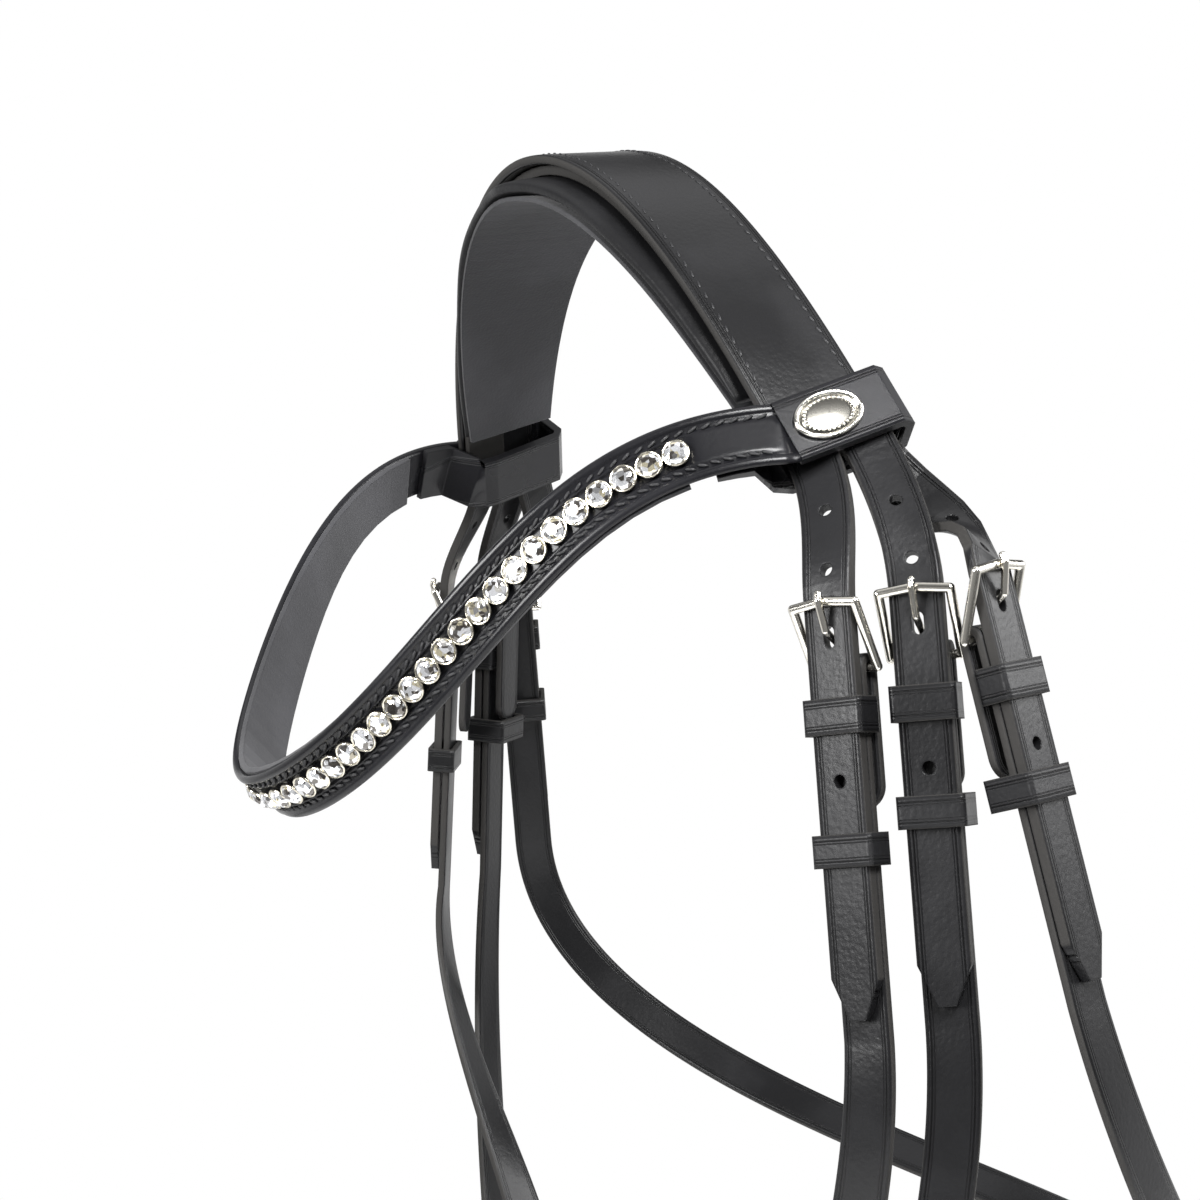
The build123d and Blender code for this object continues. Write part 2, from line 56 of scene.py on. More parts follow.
# %% Place the camera
MM = 0.001
azimuth, elevation, roll = np.radians([67.5, 3.33, -5.17])
back = np.array([np.sin(azimuth) * np.cos(elevation), -np.cos(azimuth) * np.cos(elevation),
                 np.sin(elevation)])
right = np.array([np.cos(azimuth), np.sin(azimuth), 0.0])
up = np.cross(back, right)
turned_right = np.cos(roll) * right + np.sin(roll) * up
turned_up = np.cos(roll) * up - np.sin(roll) * right

lens = bpy.data.cameras.new("camera")
lens.lens, lens.sensor_width = 74.75, 36
camera = bpy.data.objects.new("camera", lens)
bpy.context.scene.collection.objects.link(camera)
pose = Matrix.Identity(4)
for row in range(3):
    pose[row][0], pose[row][1], pose[row][2] = turned_right[row], turned_up[row], back[row]
pose.translation = np.array([611.9, -256.5, -67.4]) * MM
camera.matrix_world = pose
bpy.context.scene.camera = camera
print("camera at", [round(v, 3) for v in pose.translation])

# %% [markdown]
# ## Paths
# Every strap follows a smooth curve and keeps one side turned outwards. A Bezier curve gives the line, and at
# each point three directions go with it: along the strap, across it, and out of its face. The same control
# points shaped the CAD straps, so what is built here lies on them.

# %% Curves with directions
def unit(v):
    """Each vector divided by its own length."""
    return v / np.maximum(np.linalg.norm(v, axis=-1, keepdims=True), 1e-12)


def bezier(points, t):
    """Points of a Bezier curve: neighbours are averaged with weights 1 - t and t until one row is left."""
    row = [np.asarray(p, float)[None, :] for p in points]
    t = np.asarray(t, float)[:, None]
    while len(row) > 1:
        row = [a * (1 - t) + b * t for a, b in zip(row, row[1:])]
    return row[0]


def make_path(places, outwards, step=None):
    """Places, distances, and the directions along, across and out; out is made square to along."""
    chord = np.linalg.norm(np.diff(places, axis=0), axis=1)
    distance = np.concatenate([[0.0], np.cumsum(chord)])
    if step:
        even = np.linspace(0, distance[-1], max(int(distance[-1] / step), 2) + 1)
        places = np.stack([np.interp(even, distance, places[:, i]) for i in range(3)], 1)
        outwards = np.stack([np.interp(even, distance, outwards[:, i]) for i in range(3)], 1)
        distance = even
    along = unit(np.gradient(places, axis=0))
    across = unit(np.cross(-along, outwards))
    out = np.cross(across, -along)
    return {"place": places, "distance": distance, "along": along, "across": across, "out": out}


def azimuth_normal(angle):
    """Horizontal direction at an angle from straight forward towards the horse's left."""
    return np.array([np.sin(np.radians(angle)), -np.cos(np.radians(angle)), 0.0])


def flip(path):
    """The mirror image of a left path, on the right side."""
    sign = np.array([-1.0, 1, 1])
    twin = {k: path[k] * sign for k in ("place", "along", "out")}
    twin["across"] = -path["across"] * sign
    twin["distance"] = path["distance"]
    return twin

# %% The browband's line
BAND_CURVE = [(0, -99.6, -146.1), (49.9, -99.6, -146.1), (87.3, -52.5, -99.2),
              (85.2, -62.4, -60.0), (110.9, -0.8, -66.2), (110.8, 0, -66)]
BAND_UPS = [(0, -0.72, 0.69), (0.23, -0.23, 1), (-0.35, 0.88, 1)]
BAND_END = np.array([110.8, 0, -66.0])
LOOP_ALONG = unit(np.array([0.11, 0.961, 0.252]))


def band_path(step):
    """The whole browband from right to left; here across is up the band's width."""
    places = bezier(BAND_CURVE, np.linspace(0, 1, 600))
    chord = np.linalg.norm(np.diff(places, axis=0), axis=1)
    distance = np.concatenate([[0.0], np.cumsum(chord)])
    half = distance[-1]
    even = np.arange(0, half, step)
    even = np.append(even, half)
    left = np.stack([np.interp(even, distance, places[:, i]) for i in range(3)], 1)
    width = bezier(BAND_UPS, even / half)
    sign = np.array([-1.0, 1, 1])
    place = np.concatenate([(left * sign)[:0:-1], left])
    width = np.concatenate([(width * sign)[:0:-1], width])
    along = unit(np.gradient(place, axis=0))
    along[-1], along[0] = LOOP_ALONG, -LOOP_ALONG * sign
    rise = unit(width - along * np.sum(along * width, 1)[:, None])
    out = np.cross(along, rise)
    signed = np.concatenate([-even[:0:-1], even])
    return {"place": place, "distance": signed, "along": along, "across": rise, "out": out}, half


band, BAND_HALF = band_path(1.5)
LOOP_UP, LOOP_OUT = band["across"][-1], band["out"][-1]
print("half browband", round(BAND_HALF, 1), "mm")


def loop_point(along, depth):
    """A point inside the left loop."""
    return BAND_END + LOOP_ALONG * along - LOOP_OUT * depth

# %% The hanging straps' lines
FRONT_FACE, STRAP_THICK = -1.65, 2.2
STRAIGHT = 95.0
STRAPS = {
    "noseband": dict(top=(127.3, -1.6, -105), down=(0.146, -0.088, -0.985), azimuths=(62, 30), along=5.6,
                     depth=7.4, reach=17, bends=[], lead=13),
    "cheek": dict(top=(135.7, 15.6, -103.5), down=(0.12, -0.075, -0.988), azimuths=(75, 75, 48), along=18.2,
                  depth=5.4, reach=18, bends=[], lead=13),
    "throatlatch": dict(top=(147, 27.5, -100), down=(0.2, 0.067, -0.978), azimuths=(78, 80, 88, 112),
                        along=19.2, depth=10, reach=16, bends=[(119, 38, -93)], lead=9),
}


def billet_path(kind):
    """Line of a billet: down through the loop to the buckle's top bar, then straight to its point."""
    data = STRAPS[kind]
    top, down = np.array(data["top"], float), unit(np.array(data["down"], float))
    seam = loop_point(data["along"], data["depth"])
    points = [seam, seam - LOOP_UP * data["reach"], *data["bends"], top - down * data["lead"], top]
    curved = bezier(points, np.linspace(0, 1, 120))
    out = bezier([azimuth_normal(a) for a in data["azimuths"]], np.linspace(0, 1, 120))
    straight = top + down * np.linspace(1, STRAIGHT, 90)[:, None]
    places = np.concatenate([curved, straight])
    outs = np.concatenate([out, np.repeat(out[-1:], 90, 0)])
    path = make_path(places, outs, 1.5)
    path["distance"] = path["distance"] - path["distance"][-1] + STRAIGHT
    return path


def strap_path(kind, points, azimuths):
    """Line of a main strap: straight behind the billet, then free to its lower end."""
    data = STRAPS[kind]
    top, down = np.array(data["top"], float), unit(np.array(data["down"], float))
    face = azimuth_normal(data["azimuths"][-1])
    across = unit(np.cross(-down, face))
    shift = np.cross(across, -down) * (FRONT_FACE - STRAP_THICK / 2)
    straight = top + shift + down * np.linspace(10, STRAIGHT, 60)[:, None]
    free = bezier([straight[-1], *points], np.linspace(0, 1, 200))[1:]
    outs = bezier([face, *azimuths], np.linspace(0, 1, 199))
    outs = np.concatenate([np.repeat(face[None], 60, 0), outs])
    path = make_path(np.concatenate([straight, free]), outs, 2.0)
    path["distance"] = path["distance"] + 10
    return path


NOSE_LEVEL = -322.0
heading = {kind: unit(np.array(STRAPS[kind]["down"], float)) for kind in STRAPS}
low = {kind: np.array(STRAPS[kind]["top"], float) + heading[kind] * STRAIGHT for kind in STRAPS}
bit_loop, cheek_down = np.array([70, -16, -432.0]), unit(np.array([-0.30, -0.05, -1.0]))
cheek_end = bit_loop - cheek_down * 66
hanger_end = np.array([87.6, -4, -330.0])
hanger_points = [low["noseband"] + heading["noseband"] * 45, hanger_end - [0, 0.9, -45], hanger_end]
throat_points = [low["throatlatch"] + heading["throatlatch"] * 70, (100, 118, -296), (0, 118, -296)]
throat_outs = [azimuth_normal(105), (0.6, 0.5, -1), (0, 0.5, -1)]
cheek_start = low["cheek"] + heading["cheek"] * 60
cheek_face = azimuth_normal(78)
paths = {
    "cheek": strap_path("cheek", [cheek_start, cheek_end - cheek_down * 60, cheek_end, bit_loop],
                        [cheek_face, cheek_face]),
    "noseband": strap_path("noseband", hanger_points, [azimuth_normal(90)]),
    "throatlatch": strap_path("throatlatch", throat_points, throat_outs),
}
billets = {kind: billet_path(kind) for kind in STRAPS}
print({k: len(p["distance"]) for k, p in paths.items()})

# %% [markdown]
# ## Finishes
# Black leather shows mostly by its reflections, so its finish is in the roughness and the relief: a fine
# grain, two creases pressed beside each edge, and a matt, greyish cut edge. The creases must follow the
# strap, so each vertex stores its place across the strap and the strap's half width, in millimetres, and the
# shader works out the distance to the long edge. One node group makes the relief and the masks for every
# leather.

# %% The leather group
def add(tree, kind, **settings):
    """New node with its properties set."""
    node = tree.nodes.new(kind)
    for name, value in settings.items():
        setattr(node, name, value)
    return node


def math(tree, operation, a, b=None, clamp=False):
    """Math node whose inputs are sockets or numbers."""
    node = add(tree, "ShaderNodeMath", operation=operation, use_clamp=clamp)
    for index, value in enumerate([a, b]):
        if value is None:
            continue
        if isinstance(value, (int, float)):
            node.inputs[index].default_value = value
        else:
            tree.links.new(value, node.inputs[index])
    return node.outputs[0]


def ramp(tree, value, low, high):
    """Smooth step from 0 at low to 1 at high."""
    node = add(tree, "ShaderNodeMapRange", interpolation_type="SMOOTHSTEP")
    tree.links.new(value, node.inputs[0])
    node.inputs[1].default_value, node.inputs[2].default_value = low, high
    return node.outputs[0]


def build_leather_group():
    """Height and masks of creased leather, from the distance to the strap's long edge."""
    tree = bpy.data.node_groups.new("creased leather", "ShaderNodeTree")
    for name, value in (("Grain Scale", 900.0), ("Grain Height", 0.5), ("Wrinkles", 0.3), ("Crease", 1.0)):
        socket = tree.interface.new_socket(name, in_out="INPUT", socket_type="NodeSocketFloat")
        socket.default_value = value
    for name in ("Height", "Crease Mask", "Edge Mask", "Wear Mask"):
        tree.interface.new_socket(name, in_out="OUTPUT", socket_type="NodeSocketFloat")
    given, result = add(tree, "NodeGroupInput"), add(tree, "NodeGroupOutput")
    where = add(tree, "ShaderNodeTexCoord").outputs["Object"]
    strap = add(tree, "ShaderNodeSeparateXYZ")
    stored = add(tree, "ShaderNodeAttribute", attribute_name="strap_mm")
    tree.links.new(stored.outputs["Vector"], strap.inputs[0])
    edge = math(tree, "SUBTRACT", strap.outputs[1], math(tree, "ABSOLUTE", strap.outputs[0]))

    cells = add(tree, "ShaderNodeTexVoronoi", feature="SMOOTH_F1")
    fine = add(tree, "ShaderNodeTexNoise")
    broad = add(tree, "ShaderNodeTexNoise")
    for node in (cells, fine, broad):
        tree.links.new(where, node.inputs["Vector"])
    tree.links.new(given.outputs["Grain Scale"], cells.inputs["Scale"])
    tree.links.new(math(tree, "MULTIPLY", given.outputs["Grain Scale"], 2.2), fine.inputs["Scale"])
    broad.inputs["Scale"].default_value = 45
    broad.inputs["Detail"].default_value = 5

    wobble = math(tree, "MULTIPLY", math(tree, "SUBTRACT", broad.outputs["Fac"], 0.5), 0.25)
    steady = math(tree, "ADD", edge, wobble)
    line_one = math(tree, "ABSOLUTE", math(tree, "SUBTRACT", steady, 1.35))
    line_two = math(tree, "ABSOLUTE", math(tree, "SUBTRACT", steady, 2.0))
    groove_one = math(tree, "SUBTRACT", 1.0, ramp(tree, line_one, 0.0, 0.26))
    groove_two = math(tree, "MULTIPLY", math(tree, "SUBTRACT", 1.0, ramp(tree, line_two, 0.0, 0.2)), 0.55)
    groove = math(tree, "MULTIPLY", math(tree, "MAXIMUM", groove_one, groove_two), given.outputs["Crease"])

    grain = math(tree, "ADD", cells.outputs["Distance"], math(tree, "MULTIPLY", fine.outputs["Fac"], 0.5))
    relief = math(tree, "MULTIPLY", grain, math(tree, "MULTIPLY", given.outputs["Grain Height"], 0.00008))
    fold_height = math(tree, "MULTIPLY", given.outputs["Wrinkles"], 0.0012)
    folds = math(tree, "MULTIPLY", broad.outputs["Fac"], fold_height)
    height = math(tree, "SUBTRACT", math(tree, "ADD", relief, folds), math(tree, "MULTIPLY", groove, 0.00035))
    rim = math(tree, "MULTIPLY", math(tree, "SUBTRACT", 1.0, ramp(tree, edge, 0.0, 0.9)), 0.0005)
    tree.links.new(math(tree, "SUBTRACT", height, rim), result.inputs["Height"])
    tree.links.new(groove, result.inputs["Crease Mask"])
    tree.links.new(math(tree, "SUBTRACT", 1.0, ramp(tree, edge, 0.05, 0.35)), result.inputs["Edge Mask"])
    patches = add(tree, "ShaderNodeTexNoise")
    tree.links.new(where, patches.inputs["Vector"])
    patches.inputs["Scale"].default_value, patches.inputs["Detail"].default_value = 28, 6
    tree.links.new(ramp(tree, patches.outputs["Fac"], 0.42, 0.68), result.inputs["Wear Mask"])
    return tree


leather_group = build_leather_group()

# %% Leather, metal and crystal materials
def mix_colour(tree, mask, first, second):
    """Colour that goes from first to second with the mask."""
    node = add(tree, "ShaderNodeMix", data_type="RGBA")
    tree.links.new(mask, node.inputs[0])
    for socket, value in ((node.inputs[6], first), (node.inputs[7], second)):
        if isinstance(value, tuple):
            socket.default_value = (*value, 1)
        else:
            tree.links.new(value, socket)
    return node.outputs[2]


def leather(name, colour, edge_colour, roughness, grain, wrinkles, crease=1.0, coat=0.0, scale=900.0,
            sheen=0.0, shine=0.4):
    """Leather whose creases are painted darker, as painted shade in the grooves, and whose cut edges are
    matt.
    """
    made = bpy.data.materials.new(name)
    made.use_nodes = True
    tree = made.node_tree
    shader = tree.nodes["Principled BSDF"]
    group = add(tree, "ShaderNodeGroup", node_tree=leather_group)
    for socket, value in (("Grain Scale", scale), ("Grain Height", grain), ("Wrinkles", wrinkles),
                          ("Crease", crease)):
        group.inputs[socket].default_value = value
    tone = mix_colour(tree, group.outputs["Wear Mask"], colour, tuple(c * 1.5 for c in colour))
    # Painted shade: the pressed creases are painted darker in colour, on top of their grooves in the relief.
    tone = mix_colour(tree, group.outputs["Crease Mask"], tone, tuple(c * 0.4 for c in colour))
    tone = mix_colour(tree, group.outputs["Edge Mask"], tone, edge_colour)
    tree.links.new(tone, shader.inputs["Base Color"])
    rough = math(tree, "ADD", roughness, math(tree, "MULTIPLY", group.outputs["Wear Mask"], 0.10))
    rough = math(tree, "ADD", rough, math(tree, "MULTIPLY", group.outputs["Edge Mask"], 0.35), clamp=True)
    tree.links.new(rough, shader.inputs["Roughness"])
    bump = add(tree, "ShaderNodeBump")
    bump.inputs["Strength"].default_value = 0.85
    bump.inputs["Distance"].default_value = 1.0
    tree.links.new(group.outputs["Height"], bump.inputs["Height"])
    soften = add(tree, "ShaderNodeBevel", samples=4)
    soften.inputs["Radius"].default_value = 0.0006
    tree.links.new(soften.outputs[0], bump.inputs["Normal"])
    tree.links.new(bump.outputs[0], shader.inputs["Normal"])
    shader.inputs["Specular IOR Level"].default_value = shine
    shader.inputs["Coat Weight"].default_value = coat
    shader.inputs["Coat Roughness"].default_value = 0.12
    shader.inputs["Sheen Weight"].default_value = sheen
    return made


def metal(name, colour, roughness, scratches=0.04):
    """Plated metal with faint handling marks in its roughness."""
    made = bpy.data.materials.new(name)
    made.use_nodes = True
    tree = made.node_tree
    shader = tree.nodes["Principled BSDF"]
    where = add(tree, "ShaderNodeTexCoord").outputs["Object"]
    marks = add(tree, "ShaderNodeTexNoise")
    tree.links.new(where, marks.inputs["Vector"])
    marks.inputs["Scale"].default_value, marks.inputs["Detail"].default_value = 260, 8
    tree.links.new(mix_colour(tree, marks.outputs["Fac"], colour, tuple(c * 0.86 for c in colour)),
                   shader.inputs["Base Color"])
    rough = math(tree, "ADD", roughness, math(tree, "MULTIPLY", marks.outputs["Fac"], scratches))
    tree.links.new(rough, shader.inputs["Roughness"])
    soften = add(tree, "ShaderNodeBevel", samples=4)
    soften.inputs["Radius"].default_value = 0.0004
    tree.links.new(soften.outputs[0], shader.inputs["Normal"])
    shader.inputs["Metallic"].default_value = 1.0
    return made


def crystal_material():
    """Foiled glass drawn as a polished metal: small random cells of its colour are dark, bluish white and
    gold, painted reflections and painted fire of the facets.
    """
    made = bpy.data.materials.new("crystal")
    made.use_nodes = True
    tree = made.node_tree
    shader = tree.nodes["Principled BSDF"]
    where = add(tree, "ShaderNodeTexCoord").outputs["Object"]
    fire = add(tree, "ShaderNodeTexVoronoi")
    tree.links.new(where, fire.inputs["Vector"])
    fire.inputs["Scale"].default_value = 760
    split = add(tree, "ShaderNodeSeparateColor")
    tree.links.new(fire.outputs["Color"], split.inputs[0])
    # Painted reflections: cells of the crystal's colour are painted dark, bright white and gold, in place of
    # the facets' real reflections and fire.
    painted_glint_colour = mix_colour(tree, ramp(tree, split.outputs[0], 0.30, 0.55), (0.10, 0.09, 0.08), (0.96, 0.97, 1.0))
    painted_glint_colour = mix_colour(tree, ramp(tree, split.outputs[1], 0.80, 0.95), painted_glint_colour, (0.70, 0.64, 0.46))
    tree.links.new(painted_glint_colour, shader.inputs["Base Color"])
    shader.inputs["Metallic"].default_value = 0.85
    shader.inputs["Roughness"].default_value = 0.05
    shader.inputs["Coat Weight"].default_value = 1.0
    shader.inputs["Coat Roughness"].default_value = 0.02
    return made


FINISH = {
    "leather_patent": leather("patent leather", (0.005, 0.005, 0.006), (0.004, 0.004, 0.005), 0.24, 0.18,
                              0.10, coat=0.12, shine=0.20),
    "leather_grain": leather("bridle leather", (0.006, 0.006, 0.0065), (0.020, 0.019, 0.018), 0.30, 0.7, 0.10,
                             coat=0.04, shine=0.20),
    "leather_padding": leather("padded leather", (0.006, 0.006, 0.0065), (0.006, 0.006, 0.0065), 0.42, 0.8,
                               1.0, crease=0.0, scale=700.0, shine=0.12),
    "lining": leather("soft lining", (0.022, 0.022, 0.024), (0.02, 0.02, 0.022), 0.78, 1.2, 0.5, crease=0.0,
                      scale=1500.0, sheen=0.1, shine=0.15),
    "nickel": metal("nickel plate", (0.83, 0.80, 0.73), 0.12),
    "cup_metal": metal("claw cup", (0.70, 0.66, 0.56), 0.20),
    "badge_metal": metal("badge nickel", (0.78, 0.76, 0.70), 0.14),
    "crystal": crystal_material(),
}
# A darker nickel for the badge's dish, against its brighter rim.
DARK_NICKEL = metal("darker dish nickel", (0.16, 0.155, 0.14), 0.22)
THREAD = leather("waxed thread", (0.008, 0.008, 0.009), (0.008, 0.008, 0.009), 0.45, 0.6, 0.0, crease=0.0,
                 scale=2500.0)
slots = {s["node"]: s["material_slot"] for s in frame["record"]["subparts"]}
for name, node in nodes.items():
    node.data.materials.clear()
    node.data.materials.append(FINISH[slots[name]])
print("finishes:", ", ".join(FINISH))

# %% [markdown]
# ## Places across the CAD straps
# A strap's vertex finds the nearest station of its own path and measures how far it lies across the strap.
# Keepers and runners are bands that go round the strap, so their long edges are above and below, and they
# measure along the path instead.

# %% Store the place across the strap
def positions(mesh):
    """Vertex positions of a mesh, in millimetres."""
    co = np.zeros(len(mesh.vertices) * 3)
    mesh.vertices.foreach_get("co", co)
    return co.reshape(-1, 3) / MM


def local(points, path):
    """Across, along and out coordinates of points, from the nearest station of a path."""
    gap = np.linalg.norm(points[:, None, :] - path["place"][None, ::2, :], axis=2)
    near = np.argmin(gap, axis=1) * 2
    off = points - path["place"][near]
    return (np.sum(off * path["across"][near], 1),
            path["distance"][near] + np.sum(off * path["along"][near], 1),
            np.sum(off * path["out"][near], 1))


def store_across(obj, across, half):
    """Write each vertex's place across the strap, and the strap's half width, as one vector attribute."""
    across = np.asarray(across, np.float32).ravel()
    both = np.stack([across, np.broadcast_to(half, across.shape), np.zeros_like(across)], 1)
    layer = obj.data.attributes.new("strap_mm", "FLOAT_VECTOR", "POINT")
    layer.data.foreach_set("vector", both.astype(np.float32).ravel())


def plain_edge(obj):
    """A piece without creases: its edge counts as far away."""
    store_across(obj, np.zeros(len(obj.data.vertices)), 9.0)


def is_band(name):
    """Keepers and runners go round a strap."""
    return name.endswith("keeper") or name.endswith("runner") or name.endswith("bit_keepers")


for name, node in nodes.items():
    kind = name.split("_")[0]
    if kind in paths and slots[name] == "leather_grain":
        line = billets[kind] if name.endswith("billet") or is_band(name) else paths[kind]
        line = flip(line) if "_right_" in name else line
        if name.endswith("bit_keepers"):
            line = flip(paths["cheek"]) if "_right_" in name else paths["cheek"]
        across, along, out = local(positions(node.data), line)
        if name.endswith("bit_keepers"):
            middle = np.where(along < (along.min() + along.max()) / 2, along.min() + 3.5, along.max() - 3.5)
            store_across(node, along - middle, 3.5)
        elif is_band(name):
            half = (along.max() - along.min()) / 2
            store_across(node, along - along.min() - half, half)
        else:
            store_across(node, across, 6.0)
print("places across the straps stored")

# %% [markdown]
# ## Sweeping a cross-section
# Rolled borders, padding and sunk channels are all cross-sections carried along a path. The whole surface is
# one grid: each station of the path gives a row, and each point of the cross-section a column.

# %% Sweep tools
def mesh_object(name, points, faces, material, body, smooth=True):
    """Object at the origin from points in millimetres and faces, riding on a body."""
    mesh = bpy.data.meshes.new(name)
    mesh.from_pydata((points * MM).tolist(), [], faces)
    mesh.polygons.foreach_set("use_smooth", [smooth] * len(mesh.polygons))
    mesh.materials.append(material)
    mesh.update()
    obj = bpy.data.objects.new(name, mesh)
    bpy.context.scene.collection.objects.link(obj)
    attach(obj, body)
    return obj


def grid_faces(rows, columns, first=0):
    """Quads of a tube: the columns close round, and both ends get one face."""
    r, c = np.meshgrid(np.arange(rows - 1), np.arange(columns), indexing="ij")
    after = (c + 1) % columns
    this, following = r * columns, (r + 1) * columns
    quads = np.stack([this + c, this + after, following + after, following + c], -1)
    faces = (quads.reshape(-1, 4) + first).tolist()
    start = list(range(first, first + columns))
    end = list(range(first + (rows - 1) * columns, first + rows * columns))
    return faces + [start[::-1], end]


def sweep(name, path, section, material, body):
    """Tube whose cross-section is given at each station as (across, out) pairs, shaped (rows, columns, 2)."""
    place, across, out = path["place"][:, None], path["across"][:, None], path["out"][:, None]
    points = place + across * section[..., :1] + out * section[..., 1:]
    rows, columns = section.shape[:2]
    obj = mesh_object(name, points.reshape(-1, 3), grid_faces(rows, columns), material, body)
    if _inside_out(obj):
        obj.data.flip_normals()
    return obj


def _inside_out(obj):
    """Whether the mesh's signed volume is below zero."""
    mesh = obj.data
    mesh.calc_loop_triangles()
    co = positions(mesh)
    tri = np.zeros(len(mesh.loop_triangles) * 3, np.int32)
    mesh.loop_triangles.foreach_get("vertices", tri)
    a, b, c = (co[tri.reshape(-1, 3)[:, i]] for i in range(3))
    return np.sum(np.cross(a, b) * c) < 0


def rounded(half, inner, outer, power, count=40):
    """Closed outline of a rounded slab: a superellipse, squarer as the power grows."""
    angle = np.linspace(0, 2 * np.pi, count, endpoint=False)
    c, s = np.cos(angle), np.sin(angle)
    x = np.sign(c) * np.abs(c) ** (2 / power) * half
    z = np.sign(s) * np.abs(s) ** (2 / power) * (outer - inner) / 2 + (outer + inner) / 2
    return np.stack([x, z], -1)


def smooth_step(x):
    x = np.clip(x, 0, 1)
    return x * x * (3 - 2 * x)

# %% [markdown]
# ## Browband
# The band's leather is folded over cords along both long edges, so the edges are rolled and shiny. Between
# them runs a flat strip with the crystals in a sunk channel, and a row of heavy stitches beside each border.
# The channel ends in a round just past the last crystal.

# %% Browband leather
PITCH, EACH_SIDE = 6.55, 24
distance = band["distance"]
CHANNEL_ROUND = 3.6
channel_end = EACH_SIDE * PITCH + CHANNEL_ROUND
channel = 1 - smooth_step((np.abs(distance) - channel_end + 2.2) / 2.4)
fade = 1 - smooth_step((np.abs(distance) - BAND_HALF + 8) / 8)
u = np.concatenate([np.linspace(-8, 8, 81), np.linspace(8, -8, 21)[1:-1]])
front = np.arange(len(u)) < 81
roll_height = np.sqrt(np.clip(1 - ((np.abs(u) - 6.75) / 1.3) ** 2, 0, 1))
outer = -1.15 + 1.15 * roll_height
strip = np.abs(u) < 5.6
outer = np.where(strip, -0.55, outer)
seam = np.exp(-((np.abs(u) - 4.75) / 0.55) ** 2) * 0.35
sink = smooth_step((3.75 - np.abs(u)) / 0.5)
outer_all = outer[None] - seam[None] * fade[:, None] - sink[None] * channel[:, None] * 0.8
section = np.zeros((len(distance), len(u), 2))
section[..., 0] = u
section[..., 1] = np.where(front[None], outer_all, -2.35)
browband = sweep("browband_skin", band, section, FINISH["leather_patent"], "headpiece")
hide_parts("browband_leather")
plain_edge(browband)
for side in ("left", "right"):
    node = nodes[f"browband_{side}_loop"]
    off = positions(node.data) - (BAND_END if side == "left" else BAND_END * [-1, 1, 1])
    rise = LOOP_UP if side == "left" else LOOP_UP * [-1, 1, 1]
    store_across(node, off @ rise, 8.0)
plain_edge(nodes["browband_lining"])
print("browband rows", len(distance))

# %% [markdown]
# Each stitch is a short thick thread laid at a slant. One small capsule is placed many times in a single
# mesh: numpy multiplies the capsule's points by every stitch's own three directions at once.

# %% Stitches
def capsule(length, radius, sides=6):
    """Points and faces of a low capsule along the first axis."""
    rings = [(-0.5, 0.35), (-0.32, 0.9), (0.0, 1.08), (0.32, 0.9), (0.5, 0.35)]
    angle = np.linspace(0, 2 * np.pi, sides, endpoint=False)
    points = [(x * length, r * radius * np.cos(a), r * radius * np.sin(a)) for x, r in rings for a in angle]
    return np.array(points), grid_faces(len(rings), sides)


def repeat(name, template, places, axes, material, body, smooth=True):
    """One mesh of many copies; axes holds each copy's three directions as rows."""
    points, faces = template
    every = places[:, None, :] + np.einsum("pk,nkj->npj", points, axes)
    count = len(points)
    all_faces = [[i + n * count for i in face] for n in range(len(places)) for face in faces]
    obj = mesh_object(name, every.reshape(-1, 3), all_faces, material, body, smooth)
    plain_edge(obj)
    return obj


def stations(path, distances):
    """Interpolated place and directions at the wanted distances along a path."""
    found = {}
    for key in ("place", "along", "across", "out"):
        found[key] = np.stack([np.interp(distances, path["distance"], path[key][:, i]) for i in range(3)], 1)
    for key in ("along", "across", "out"):
        found[key] = unit(found[key])
    return found


def stitch_rows(name, path, offsets, start, end, pitch, raise_by, body, length=2.5, radius=0.42, slant=0.45):
    """Rows of slanted stitches at the given offsets across the path."""
    at = np.arange(start, end, pitch)
    spots = stations(path, at)
    places, axes = [], []
    for offset in offsets:
        lean = slant * np.sign(offset)
        thread = unit(spots["along"] + spots["across"] * lean)
        side = np.cross(spots["out"], thread)
        places.append(spots["place"] + spots["across"] * offset + spots["out"] * raise_by)
        axes.append(np.stack([thread, side, spots["out"]], 1))
    return repeat(name, capsule(length, radius), np.concatenate(places), np.concatenate(axes), THREAD, body)


stitch_rows("browband_stitches", band, (-4.75, 4.75), -BAND_HALF + 4, BAND_HALF - 4, 3.1, -0.55, "headpiece")
print("stitches sewn")

# %% [markdown]
# ## Crystals
# Each crystal is a faceted dome in a metal cup. Flat shading keeps the facets crisp, so neighbouring stones
# catch the lights differently as the band turns.

# %% Crystals in their cups
def faceted_dome():
    """Flat table, a ring of star facets and a girdle."""
    rings = [(2.95, 0.30, 0.0, 16), (2.85, 0.85, 0.0, 16), (2.25, 1.65, 0.5, 16), (1.35, 2.15, 0.0, 16)]
    points, faces = [], []
    for radius, height, turn, sides in rings:
        angle = (np.arange(sides) + turn) * 2 * np.pi / sides
        points += [(radius * np.cos(a), radius * np.sin(a), height) for a in angle]
    for ring in range(3):
        for i in range(16):
            j = (i + 1) % 16
            a, b = ring * 16 + i, ring * 16 + j
            c, d = a + 16, b + 16
            faces += [[a, b, d, c]] if ring == 0 else [[a, b, c], [b, d, c]]
    faces.append(list(range(48, 64)))
    faces.append(list(range(15, -1, -1)))
    return np.array(points), faces


